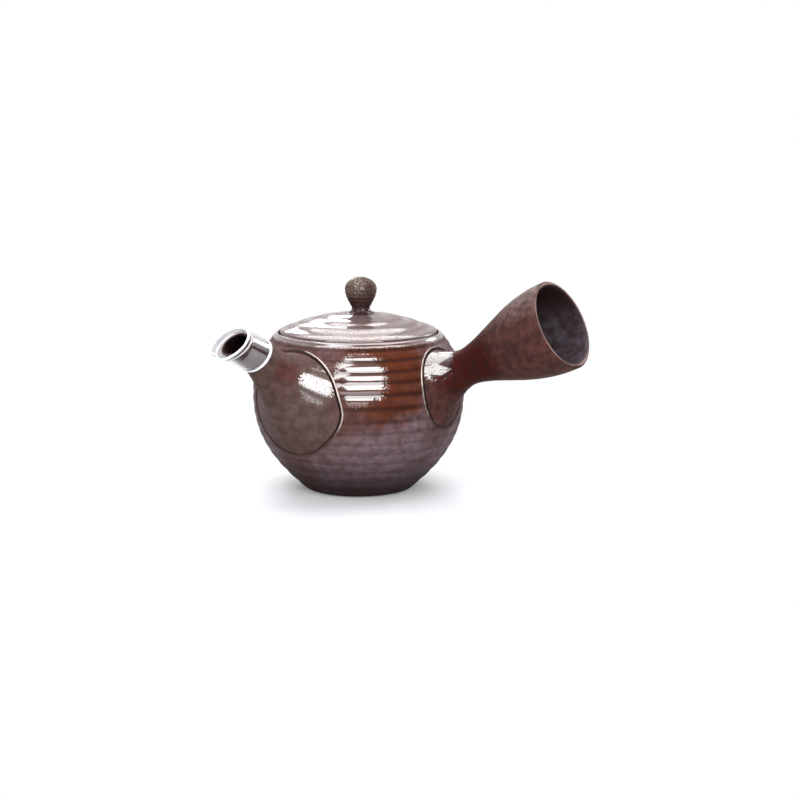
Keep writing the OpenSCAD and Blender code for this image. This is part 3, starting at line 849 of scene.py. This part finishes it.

# %% [markdown]
# The third is the mark of the fire: a patch with a ragged edge, where the flame ran along the pot. Noise
# makes the distance from its centre uneven before the patch fades out. The same patch also places the
# glassy skin, and the pale painted highlight on the beads.

# %% Group: flame mark
RAGGED_SIZE = 9.0
tree, given, found = new_group(
    "flame mark",
    {"Vector": "Vector", "Centre": "Vector", "Reach": "Float", "Edge": "Float", "Ragged": "Float"},
    {"Mask": "Float"},
)
away = measure(tree, "DISTANCE", given["Vector"], given["Centre"])
ragged = noise(tree, given["Vector"], RAGGED_SIZE, detail=4.0, roughness=0.6)
ragged = figure(tree, "SUBTRACT", ragged, 0.5)
share = figure(tree, "DIVIDE", away, given["Reach"])
share = figure(tree, "MULTIPLY_ADD", ragged, given["Ragged"], share)
join(tree, found, {"Mask": spread(tree, share, given["Edge"], 1.0, 1.0, 0.0)})
flame_tree = tree

# %% [markdown]
# The fourth finds what lies in a bore, which is a widening round hole along an axis. The inside of a spout
# or a handle can then be painted with shade, although it is one piece with the outside.

# %% Group: inside of a bore
BORE_EDGE = 0.3 * MM
BORE_SIZES = ("Start", "End", "Start radius", "End radius")
tree, given, found = new_group(
    "inside of a bore", {"Vector": "Vector", **dict.fromkeys(BORE_SIZES, "Float")}, {"Mask": "Float"},
)
spot = axes(tree, given["Vector"])
square = figure(tree, "POWER", spot["Y"], 2.0)
square = figure(tree, "MULTIPLY_ADD", spot["X"], spot["X"], square)
widening = spread(tree, spot["Z"], *(given[size] for size in BORE_SIZES))
within = figure(tree, "SUBTRACT", widening, figure(tree, "SQRT", square))
join(tree, found, {"Mask": spread(tree, within, -BORE_EDGE, BORE_EDGE)})
bore_tree = tree

# %% [markdown]
# The last group puts fired clay together. Ash lies on it in clouds, the flame turns it red, and iron shows
# in mottles and flecks. The grooves are painted darker with the iron colour, as shade, and the Shaded share
# lays a painted shade colour over the clay. The glassy skin breaks up into specks where it runs out, and is
# thinner along the tool's lines, in the grooves and where shade is painted.

# %% Group: fired clay
FLECK_SHARE, ROUGH_CHANGE = 0.3, 0.3
SPECK_RANGE, SKIN_RANGE, SKIN_FULL = (0.33, 0.67), (-0.1, 0.55), 1.2
GROOVE_THIN = 0.5
MOTTLE_RELIEF, LINE_RELIEF = 0.35, 0.35
CLAY_COLOURS = ("Clay", "Ash", "Iron and shade", "Rust and highlight", "Shade")
CLAY_SHARES = (
    "Ash share", "Flame", "Lines", "Dull", "Skin", "Mottle", "Grooves", "Shaded", "Streaks", "Specks",
)
tree, given, found = new_group(
    "fired clay",
    {"Vector": "Vector", **dict.fromkeys(CLAY_COLOURS, "Color"), **dict.fromkeys(CLAY_SHARES, "Float")},
    {"Color": "Color", "Roughness": "Float", "Skin": "Float", "Height": "Float"},
)
grain = use_group(tree, grain_tree, {"Vector": given["Vector"]})
colour = given["Clay"]
for share, over in (
    (times(tree, grain["Cloud"], given["Ash share"]), "Ash"),
    (given["Flame"], "Rust and highlight"),
    (given["Shaded"], "Shade"),
    (times(tree, grain["Mottle"], given["Mottle"]), "Iron and shade"),
    (times(tree, grain["Fleck"], FLECK_SHARE), "Iron and shade"),
    # painted shade: the grooves take the iron colour
    (given["Grooves"], "Iron and shade"),
):
    colour = tint(tree, share, colour, given[over])
uneven = figure(tree, "SUBTRACT", grain["Sand"], 0.5)
speck = times(tree, spread(tree, grain["Sand"], *SPECK_RANGE), given["Specks"])
skin = figure(tree, "SUBTRACT", times(tree, given["Skin"], SKIN_FULL), speck)
skin = spread(tree, skin, *SKIN_RANGE)
skin = less(tree, skin, times(tree, given["Lines"], given["Streaks"]))
skin = less(tree, skin, times(tree, given["Grooves"], GROOVE_THIN))
skin = less(tree, skin, given["Shaded"])
relief = figure(tree, "MULTIPLY_ADD", grain["Mottle"], MOTTLE_RELIEF, grain["Sand"])
join(tree, found, {
    "Color": colour, "Skin": skin,
    "Roughness": figure(tree, "MULTIPLY_ADD", uneven, ROUGH_CHANGE, given["Dull"]),
    "Height": figure(tree, "MULTIPLY_ADD", given["Lines"], LINE_RELIEF, relief),
})
print("fired clay group has", len(tree.nodes), "nodes")
clay_tree = tree

# %% [markdown]
# ## The clays
# A flame mark is placed on a piece by its centre and reach. The grooves of the pot's rings come from the
# turning lines again, with the start and the pitch of each band of rings, so colour and shape agree.

# %% Marks on the clay
RING_WANDER, BAND_BLEND = 0.1, 0.1


def fire_mark(tree, where, centre, reach, edge, ragged):
    """The mask of a mark round a place, in millimetres."""
    sockets = {"Centre": Vector(centre) * MM, "Reach": reach * MM, "Edge": edge, "Ragged": ragged}
    return use_group(tree, flame_tree, {"Vector": where, **sockets})["Mask"]


def ring_lines(tree, where, start, pitch):
    """Lines that are strongest in the grooves of rings, which begin at a height."""
    shift = (0, 0, -(start + pitch / 4) * MM)
    lowered = put(tree, "ShaderNodeMapping", {"Vector": where, "Location": shift}).outputs["Vector"]
    sockets = {"Vector": lowered, "Pitch": pitch * MM, "Wander": RING_WANDER}
    return use_group(tree, lines_tree, sockets)["Lines"]


def ring_grooves(tree, where, height, rings):
    """The lines of several bands of rings, each from its own start up to the next one."""
    grooves = ring_lines(tree, where, *rings[0])
    for start, pitch in rings[1:]:
        upper = spread(tree, height, (start - BAND_BLEND) * MM, (start + BAND_BLEND) * MM)
        bands = {0: upper, 2: grooves, 3: ring_lines(tree, where, start, pitch)}
        grooves = put(tree, "ShaderNodeMix", bands, data_type="FLOAT").outputs[0]
    return grooves


# %% [markdown]
# Every clay piece has its own recipe: the colour of the body, how much grey ash lies on it, where the
# flame touched it, and how dull or shiny it came out. Only these values change. The Principled shader and
# the Bump node stay in the material itself, and plain numbers are set on their own sockets.

# %% Recipe for a clay
IRON_AND_SHADE = (0.018, 0.008, 0.008, 1)
RUST = (0.08, 0.015, 0.001, 1)
WORN_AND_HIGHLIGHT = (0.24, 0.16, 0.14, 1)
BUMP_DEPTH = 0.05 * MM
SKIN_IOR = 2.4
FLAME_EDGE, SHINE_EDGE = {"edge": 0.45, "ragged": 0.9}, {"edge": 0.4, "ragged": 0.5}
TOOL_WANDER = 0.8
GROOVE_SHADE, GROOVE_FAINT, GROOVE_START = 0.7, 0.4, 0.55
CREST_RED, CREST_RANGE = 0.85, (0.1, 0.9)
FOOT_SHADE = 0.85
LIP_BAND_LOW, LIP_BAND_HIGH, LIP_BAND_SHARE = 0.3, 0.1, 0.9
BORE_LIT, BORE_DARK = 80, 98
UPRIGHT = ((0, 0, 0), (0, 0, 0))


def clay_material(
    name, body, ash, flame, shine, ash_share=(0.5, 0.5), ash_heights=(0, 100), rust_and_highlight=RUST, pitch=2.0,
    axis=UPRIGHT, bore=None, foot=None, rings=None, rim=None, shade=IRON_AND_SHADE, dull=0.6, sheen=0.05,
    skin_rough=0.1, mottle=0.4, streaks=0.0, specks=1.0, lip=None,
):
    """A clay with its own colours. flame is the place and reach of the red mark, in the colour given for
    rust; on the beads the same mark is a pale painted highlight. shine is the place and reach of the glassy
    skin, and its weight outside and inside that reach. axis is the piece's own place and turn, for its
    turning lines, bore and lip. ash_share is the ash below and above ash_heights, which count from that axis
    where there is one. Below foot the clay is painted darker towards the table, as shade. It turns glassy
    from the first height of rim to the second, and is redder and painted darker, as shade, in the grooves of
    rings. A bore is painted inside with shade, which turns to the dark iron colour high up, and lip gets a
    pale band, partly painted highlight and partly lighter worn clay. specks break up the skin, and streaks
    thin it along the turning lines. Lengths are in mm."""
    material, tree, shader = new_material(name)
    where = object_place(tree)
    sockets = {"Vector": where, "Location": axis[0], "Rotation": axis[1]}
    upright = put(tree, "ShaderNodeMapping", sockets, vector_type="TEXTURE").outputs["Vector"]
    tool = use_group(tree, lines_tree, {"Vector": upright, "Pitch": pitch * MM, "Wander": TOOL_WANDER})
    height = axes(tree, where)["Z"]
    own = axes(tree, upright)
    rise = height if axis == UPRIGHT else times(tree, own["X"], -1.0)
    low, high = (z * MM for z in ash_heights)
    sockets = {
        "Vector": where, "Clay": body, "Ash": ash, "Iron and shade": IRON_AND_SHADE, "Rust and highlight": rust_and_highlight, "Shade": shade,
        "Ash share": spread(tree, rise, low, high, *ash_share),
        "Flame": fire_mark(tree, where, *flame, **FLAME_EDGE),
        "Lines": tool["Lines"], "Dull": dull, "Mottle": mottle, "Streaks": streaks, "Specks": specks,
    }
    if shine:
        glassy = fire_mark(tree, where, *shine[:2], **SHINE_EDGE)
        if rim:
            glassy = figure(tree, "MAXIMUM", glassy, spread(tree, height, *(z * MM for z in rim)))
        sockets["Skin"] = spread(tree, glassy, 0, 1, *shine[2:])
    if rings:
        grooves = ring_grooves(tree, where, height, rings)
        redder = spread(tree, grooves, *CREST_RANGE, CREST_RED, 1.0)
        sockets["Flame"] = times(tree, sockets["Flame"], redder)
        # Painted shade in the grooves of the rings, stronger inside the flame mark.
        groove_shade = spread(tree, grooves, GROOVE_START, 1.0, 0.0, GROOVE_SHADE)
        shade_by_flame = spread(tree, sockets["Flame"], 0.0, 1.0, GROOVE_FAINT, 1.0)
        sockets["Grooves"] = times(tree, groove_shade, shade_by_flame)
    # Painted shade inside the bore: the shade colour, turning to the iron colour high up, where the inside
    # faces down.
    if bore:
        ends = dict(zip(BORE_SIZES, (size * MM for size in bore)))
        sockets["Shaded"] = use_group(tree, bore_tree, {"Vector": upright, **ends})["Mask"]
        lit = spread(tree, height, BORE_LIT * MM, BORE_DARK * MM, 1.0, 0.0)
        sockets["Shade"] = tint(tree, lit, IRON_AND_SHADE, shade)
    # Painted shade near the table: the clay darkens towards the foot.
    if foot:
        sockets["Shaded"] = spread(tree, height, 0, foot * MM, FOOT_SHADE, 0.0)
    clay = use_group(tree, clay_tree, sockets)
    colour = clay["Color"]
    # The pale band along the lip is partly a painted highlight and partly lighter worn clay.
    if lip:
        worn_and_highlight = spread(tree, own["Z"], (lip - LIP_BAND_LOW) * MM, (lip - LIP_BAND_HIGH) * MM, 0.0, LIP_BAND_SHARE)
        colour = tint(tree, worn_and_highlight, colour, WORN_AND_HIGHLIGHT)
    bump = put(tree, "ShaderNodeBump", {"Height": clay["Height"], "Distance": BUMP_DEPTH, "Strength": 1.0})
    join(tree, shader, {
        "Base Color": colour, "Roughness": clay["Roughness"], "Normal": bump.outputs["Normal"],
        "Specular IOR Level": sheen,
    })
    if shine:
        join(tree, shader, {"Coat Weight": clay["Skin"], "Coat Roughness": skin_rough, "Coat IOR": SKIN_IOR})
    return material


def wear(piece, *materials):
    """Gives a piece its material, or two where its cut edges and a painted highlight ring have their own."""
    for material in materials:
        piece.data.materials.append(material)
    print(piece.name, "wears", [material.name for material in materials])


# %% [markdown]
# Now each piece gets its recipe: the colours of its body and its ash, then the place and reach of its
# flame mark, then what else sets it apart. The flame met the pot between the spout and the handle, so the
# marks of the pieces lie on that side. On the beads that mark is a pale painted highlight, and the seam
# lines are dark with painted shade.

# %% Clays of the pieces
FRONT_FLAME = ((36, -27, 63), 34)
HORN_MOUTH = 6
# The pot is painted darker, as shade, towards its foot and in its ring grooves.
wear(pot, clay_material(
    "pot_purple_brown", (0.095, 0.048, 0.044, 1), (0.16, 0.115, 0.13, 1), FRONT_FLAME,
    shine=((28, -39, 60), 16.5, 0.0, 1.0), ash_share=(0.9, 0.9), foot=26, mottle=0.42, specks=0.75,
    rim=(72, 74), rings=[(low, pitch) for low, high, pitch in RING_BANDS[:3]],
))
# Inside the spout's tip the bore is painted near black, as shade.
wear(spout, clay_material(
    "spout_grey_brown", (0.085, 0.048, 0.042, 1), (0.11, 0.074, 0.07, 1), ((5, -61, 65), 9),
    shine=((12.5, -51, 57.5), 11.5, 0.0, 1.0), rust_and_highlight=(0.09, 0.036, 0.03, 1), pitch=5.0,
    axis=tip_place, bore=(-TIP_LEN, 0, TIP_ROOT_R - TIP_WALL / 2, TIP_R - TIP_WALL / 2),
    shade=(0.004, 0.002, 0.002, 1), mottle=0.45, skin_rough=0.14,
))
# Inside the handle the bore is painted a dim grey-purple, as shade; its lip gets the pale band.
wear(handle, clay_material(
    "handle_red_brown", (0.07, 0.027, 0.022, 1), (0.15, 0.1, 0.095, 1), ((66, -9, 67), 26),
    shine=((48, -9, 66.5), 13, 0.0, 1.0), rust_and_highlight=(0.04, 0.005, 0.003, 1), pitch=4.0, mottle=0.7,
    ash_share=(0.0, 1.4), ash_heights=(4, 22), lip=HANDLE_END_S, axis=handle_place,
    bore=(NECK_S, HANDLE_END_S - HORN_MOUTH, NECK_R - LIP_R, HANDLE_END_R - LIP_R),
    shade=(0.062, 0.05, 0.06, 1),
))
wear(lid, clay_material(
    "lid_purple_brown", (0.1, 0.058, 0.056, 1), (0.13, 0.098, 0.098, 1), ((24, -26, 77), 10),
    shine=((0, 0, 80), 99, 0.44, 0.44), rust_and_highlight=(0.1, 0.045, 0.035, 1), streaks=0.5, specks=0.3,
))
wear(knob, clay_material(
    "knob_dark_brown", (0.04, 0.018, 0.02, 1), (0.1, 0.066, 0.05, 1), ((6, -8, 88), 6),
    shine=((2, -9, 99), 10, 0.05, 0.25), ash_share=(0.0, 1.2), ash_heights=(89, 97), rim=(88, 86.5),
    rust_and_highlight=(0.05, 0.025, 0.02, 1), skin_rough=0.2, specks=0.6,
))
# Painted highlight: the pale mark on the upper front part of the beads stands in for the light along them.
bead_clay = clay_material(
    "bead_brown_painted_highlight", (0.06, 0.035, 0.03, 1), (0.085, 0.06, 0.058, 1), ((32, -32, 67), 38),
    shine=((30, -34, 66), 40, 0.1, 1.0), rust_and_highlight=(0.42, 0.34, 0.3, 1), pitch=9.0, mottle=0.2, specks=0.3,
)
# Painted shade: the dark seam line stands in for the shade in the incised line beside the bead.
seam_shade_clay = clay_material(
    "seam_painted_shade", (0.05, 0.028, 0.026, 1), (0.06, 0.04, 0.042, 1), ((36, -30, 57), 50),
    shine=None, rust_and_highlight=(0.012, 0.006, 0.005, 1), pitch=9.0, dull=0.8,
)
for bead, line in beads:
    wear(bead, bead_clay)
    wear(line, seam_shade_clay)
wear(strainer, clay_material(
    "strainer_brown", (0.08, 0.046, 0.043, 1), (0.105, 0.075, 0.075, 1), ((0, -40, 60), 10),
    shine=((0, -40, 60), 10, 0.1, 0.2),
))

# %% [markdown]
# ## Clear vinyl
# The sleeve is a soft clear film. A full Transmission with a low roughness makes it see-through, and its
# real thickness bends the light at the edges. A coat adds a hard shine, and faint streaks from the mould
# keep it from looking like polished glass. The frosted bands at its cut ends, and a painted highlight ring
# at the clay's mouth, have a white material of their own.

# %% Vinyl
STREAK_SIZE, STREAK_RANGE, FILM_ROUGH = 2.5, (0.3, 0.7), (0.03, 0.14)
SPECKLE_SIZE, SPECKLE_RANGE, WHITE_BAND_ROUGH = 0.8, (0.2, 0.8), (0.3, 0.5)
vinyl, tree, shader = new_material("clear_vinyl_film")
streaks = noise(tree, object_place(tree), STREAK_SIZE)
bump = put(tree, "ShaderNodeBump", {"Height": streaks, "Distance": BUMP_DEPTH, "Strength": 0.6})
join(tree, shader, {
    "Base Color": (0.8, 0.79, 0.83, 1), "Transmission Weight": 1.0, "IOR": 1.2,
    "Roughness": spread(tree, streaks, *STREAK_RANGE, *FILM_ROUGH), "Normal": bump.outputs["Normal"],
    "Coat Weight": 1.0, "Coat Roughness": 0.12, "Coat IOR": 2.0,
})

frost_and_highlight_white, tree, shader = new_material("vinyl_frost_and_painted_highlight")
speckle = noise(tree, object_place(tree), SPECKLE_SIZE, detail=3.0)
join(tree, shader, {
    "Base Color": tint(tree, speckle, (0.8, 0.81, 0.84, 1), (0.95, 0.95, 0.96, 1)),
    "Roughness": spread(tree, speckle, *SPECKLE_RANGE, *WHITE_BAND_ROUGH),
})
wear(sleeve, vinyl, frost_and_highlight_white)

# %% [markdown]
# ## The table and the light
# The picture has a white table that melts into a white background. The camera sees the far table as pure
# white; near the pot some of its own shaded surface is mixed in, so the soft shadow under the pot stays.
# That mix is centred a little in front of the pot, so the table is also painted grey there, as shadow.

# %% Table
TABLE_SIZE, TABLE_DROP = 8, 0.2
SHADOW_AT, SHADOW_IN, SHADOW_OUT, LEAST_WHITE = (0.027, -0.028, 0), 0.04, 0.13, 0.1
PAPER_LIT, PAPER_SEEN, WHITE = (0.5, 0.5, 0.51, 1), (0.6, 0.605, 0.63, 1), (1, 1, 1, 1)


def camera_rays(tree):
    """Whether a ray is the camera's own, and whether it is that or went through something clear."""
    path = put(tree, "ShaderNodeLightPath").outputs
    own_ray = path["Is Camera Ray"]
    return own_ray, figure(tree, "MAXIMUM", own_ray, path["Is Transmission Ray"])


start_alone()
bpy.ops.mesh.primitive_plane_add(size=TABLE_SIZE, location=(0, 0, -TABLE_DROP * MM))
table = bpy.context.object
table.name = "table"
paper, tree, shader = new_material("white_table")
own_ray, looked_at = camera_rays(tree)
join(tree, shader, {
    "Base Color": tint(tree, own_ray, PAPER_LIT, PAPER_SEEN), "Roughness": 0.9, "Specular IOR Level": 0.1,
})
glow = put(tree, "ShaderNodeEmission", {"Color": WHITE, "Strength": 1.0})
# Painted shadow: the grey pool is centred in front of the pot.
out_from_shadow_pool = measure(tree, "DISTANCE", object_place(tree), SHADOW_AT)
white_share = spread(tree, out_from_shadow_pool, SHADOW_IN, SHADOW_OUT, LEAST_WHITE, 1.0)
mixed = put(tree, "ShaderNodeMixShader", {
    0: times(tree, white_share, looked_at), 1: shader.outputs[0], 2: glow.outputs[0],
})
join(tree, tree.nodes["Material Output"], {"Surface": mixed.outputs[0]})
table.data.materials.append(paper)

# %% [markdown]
# The world stands for the studio. What the clay mirrors is bright behind the pot and above it, and darker
# in front, on the camera's side. The camera itself sees plain white.

# %% Backdrop
ROOM_LIGHT, BACKDROP_LIGHT, CEILING_LIGHT = 0.06, 1.0, 0.3
BACKDROP_RANGE, CEILING_RANGE = (-0.3, 0.6), (0.4, 0.75)
world = bpy.data.worlds.new("white_backdrop")
bpy.context.scene.world = world
world.use_nodes = True
tree = world.node_tree
way = put(tree, "ShaderNodeTexCoord").outputs["Generated"]
behind = (AIM - camera.location).normalized()
behind.z = 0.0
facing = measure(tree, "DOT_PRODUCT", way, behind)
backdrop = spread(tree, facing, *BACKDROP_RANGE, ROOM_LIGHT, BACKDROP_LIGHT)
ceiling = spread(tree, axes(tree, way)["Z"], *CEILING_RANGE, 0.0, CEILING_LIGHT)
level = figure(tree, "ADD", backdrop, ceiling)
own_ray, looked_at = camera_rays(tree)
strength = put(tree, "ShaderNodeMix", {0: looked_at, 2: level, 3: 1.0}, data_type="FLOAT").outputs[0]
join(tree, tree.nodes["Background"], {"Color": WHITE, "Strength": strength})

# %% [markdown]
# Five softboxes light the pot. A broad one stands in front, above the camera, and shows as the white
# stripes on the rings. A tall one stands on the left in front, two small ones behind light the lid and the
# edges, and a large one hangs overhead.

# %% Softboxes
def softbox(name, turn, rise, away, width, tall, power):
    """A rectangular lamp that looks at the pot. turn is to the right of the camera, in degrees."""
    start_alone()
    spot = seen_from(CAMERA_TURN + math.radians(turn), math.radians(rise), away)
    bpy.ops.object.light_add(type="AREA", location=spot)
    lamp = bpy.context.object
    lamp.name = name
    lamp.rotation_euler = (AIM - spot).to_track_quat("-Z", "Y").to_euler()
    lamp.data.shape = "RECTANGLE"
    lamp.data.size, lamp.data.size_y = width, tall
    lamp.data.energy = power
    print(name, "at", [round(c, 2) for c in spot])


for side, *numbers in (
    ("front", 10, 26, 1.0, 0.86, 0.64, 10.4),
    ("front_left", -36, 40, 1.0, 0.46, 0.95, 6.5),
    ("back_left", -170, 25, 1.2, 0.3, 0.3, 3.2),
    ("back_right", 130, 22, 1.2, 0.4, 0.4, 3.5),
    ("top", 180, 73, 1.0, 1.2, 1.3, 15),
):
    softbox(side + "_softbox", *numbers)
